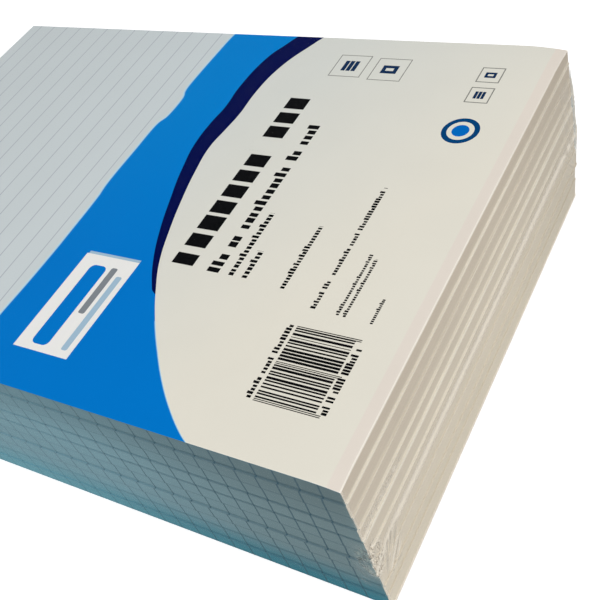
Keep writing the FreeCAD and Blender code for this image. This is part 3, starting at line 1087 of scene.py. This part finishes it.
# The film's lowest far foot corner goes in to its plane
def crushedIn(x, y, z):
    fromX = sheetSize["halfX"] - x
    fromY = y + sheetSize["halfY"]
    share = (fromX + fromY) / crushed["leg"] + (z - crushed["floor"]) / crushed["rise"]
    return max(crushed["share"] - share, 0.0) * crushed["leg"] / 2


# Moves the film's points out into seam and gathers, and notes how milky each is and where painted
# highlight and shade fall on it
def shapeFilm(block):
    mesh = block.data
    notes = {"hazeAndHighlight": [], "fold": [], "wad": [], "veil": []}
    for vertex in mesh.vertices:
        x, y, z = vertex.co / mm
        signX = 1 if x > 0 else -1
        signY = 1 if y > 0 else -1
        fromX = film["halfX"] - abs(x)
        fromY = film["head"] - y if y > 0 else y - film["foot"]
        onX = fromX < film["edgeRound"] + 0.01
        onY = fromY < film["edgeRound"] + 0.01
        outX, outY = 0.0, 0.0
        hazeAndHighlight, fold, wad, veil = 0.0, 0.0, 0.0, 0.0
        if onX or onY:
            along = fromX if onY and not onX else fromY if onX and not onY else 0.0
            lift, fold, wad, veil = gatherAt((signX, signY), (x, y, z), along, onY)
            outX = lift if onX else lift * max(1 - fromX / film["spread"], 0.0)
            outY = lift if onY else lift * max(1 - fromY / film["spread"], 0.0)
        if onY or (onX and x > 0):
            hazeAndHighlight = smoothFall(abs(z - film["hazeLevel"]) / film["hazeHalf"])
            hazeAndHighlight *= 1.0 if onY else film["sideHaze"]
            if abs(z - film["seamLevel"]) < 0.1:
                outX += film["seamReach"] if onX and x > 0 else 0.0
                outY += film["seamReach"] if onY else 0.0
        if onY:
            # painted highlight down the film's corners on the near long side
            hazeAndHighlight = max(hazeAndHighlight, film["cornerHighlight"] * smoothFall(fromX / film["cornerHighlightRun"]) * (x < 0))
            wad = max(wad, wrinkledAt(x, z) if y < 0 else 0.0)
        crush = crushedIn(x, y, z)
        fromStart = z - film["top"] + film["drawnFrom"]
        if fromStart > 0:
            z -= drawnDown(x, y) * min(fromStart / (film["drawnFrom"] - film["drawnFull"]), 1.0)
        place = Vector((x + signX * outX - crush, y + signY * outY + crush, z))
        vertex.co = place * mm
        for name, value in (("hazeAndHighlight", hazeAndHighlight), ("fold", fold), ("wad", wad), ("veil", veil)):
            notes[name].append(value)
    for name, values in notes.items():
        mesh.attributes.new(name, "FLOAT", "POINT").data.foreach_set("value", values)


def makeFilm():
    low = Vector((-film["halfX"], film["foot"], 0.0)) * mm
    high = Vector((film["halfX"], film["head"], film["top"])) * mm
    skin = startBlock("clear_shrink_film", low, high)
    rounding = skin.modifiers.new("rounding", "BEVEL")
    rounding.width = film["edgeRound"] * mm
    rounding.segments = 3
    finishModifiers(skin)
    cutBlock(skin, filmCuts())
    shapeFilm(skin)
    skin.data.materials.append(clearFilm)
    skin.data.materials.append(filmLining)
    wall = skin.modifiers.new("wall", "SOLIDIFY")
    wall.thickness = film["wall"] * mm
    wall.offset = -1
    wall.material_offset = 1
    finishModifiers(skin)
    bpy.ops.object.shade_smooth_by_angle(angle=math.radians(60))
    skin.visible_shadow = False  # clear film takes hardly any light away
    skin.visible_diffuse = False
    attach(skin, "root")
    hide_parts("shrink_film")
    return skin


# Gives every frame node that stays its own finish
def dressFrame():
    finishes = {"sheets": bondPaper, "board": backingBoard, "gum": paddingGum}
    for name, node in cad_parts.items():
        kind = name.rsplit("_", 1)[-1]
        if kind in finishes:
            node.data.materials.clear()
            node.data.materials.append(finishes[kind])


# Floor, light and the white surround
studio = {
    "floorHalf": 3.0,
    "floorColour": (0.72, 0.72, 0.72, 1.0),
    "floorGlow": 0.6,
    "world": 0.45,
    # Name, place in metres, size, power
    "lamps": [("key", (-0.1, -1.05, 1.05), 0.9, 7.0), ("fill", (-1.2, 0.1, 0.7), 0.9, 5.0),
              ("overhead", (0.0, 0.1, 1.5), 1.4, 4.5)],
}


def makeFloor():
    bpy.ops.object.select_all(action="DESELECT")
    bpy.ops.mesh.primitive_plane_add(size=2 * studio["floorHalf"])
    floor = bpy.context.active_object
    floor.name = "floor"
    material = bpy.data.materials.new("floor")
    material.use_nodes = True
    tree = material.node_tree
    shader = tree.nodes["Principled BSDF"]
    wireAll(tree, shader, {"Base Color": studio["floorColour"], "Roughness": 0.9,
                           "Specular IOR Level": 0.0})
    glow = tree.nodes.new("ShaderNodeEmission")
    wire(tree, times(tree, seenStraight(tree), studio["floorGlow"]), glow.inputs["Strength"])
    both = tree.nodes.new("ShaderNodeAddShader")
    tree.links.new(shader.outputs[0], both.inputs[0])
    tree.links.new(glow.outputs[0], both.inputs[1])
    tree.links.new(both.outputs[0], tree.nodes["Material Output"].inputs["Surface"])
    floor.data.materials.append(material)


def makeLamp(name, place, size, power):
    data = bpy.data.lights.new(name, "AREA")
    data.shape = "SQUARE"
    data.size = size
    data.energy = power
    lamp = bpy.data.objects.new(name, data)
    bpy.context.scene.collection.objects.link(lamp)
    lamp.location = place
    lamp.rotation_euler = (-Vector(place)).to_track_quat("-Z", "Y").to_euler()


def makeWorld():
    world = bpy.data.worlds.new("surround")
    bpy.context.scene.world = world
    world.use_nodes = True
    tree = world.node_tree
    background = tree.nodes["Background"]
    background.inputs["Color"].default_value = (1.0, 1.0, 1.0, 1.0)
    strength = ramp(tree, seenStraight(tree), 0.0, 1.0, studio["world"], 1.0, smooth=False)
    wire(tree, strength, background.inputs["Strength"])


print("card and top sheets")
makeCard()
makeTopSheets()
print("film")
filmPiece = makeFilm()
print("film faces:", len(filmPiece.data.polygons))
print("finishes")
dressFrame()
print("floor, light, camera")
makeFloor()
for lamp in studio["lamps"]:
    makeLamp(*lamp)
makeWorld()
makeCamera()
bpy.context.scene.view_settings.view_transform = "Standard"
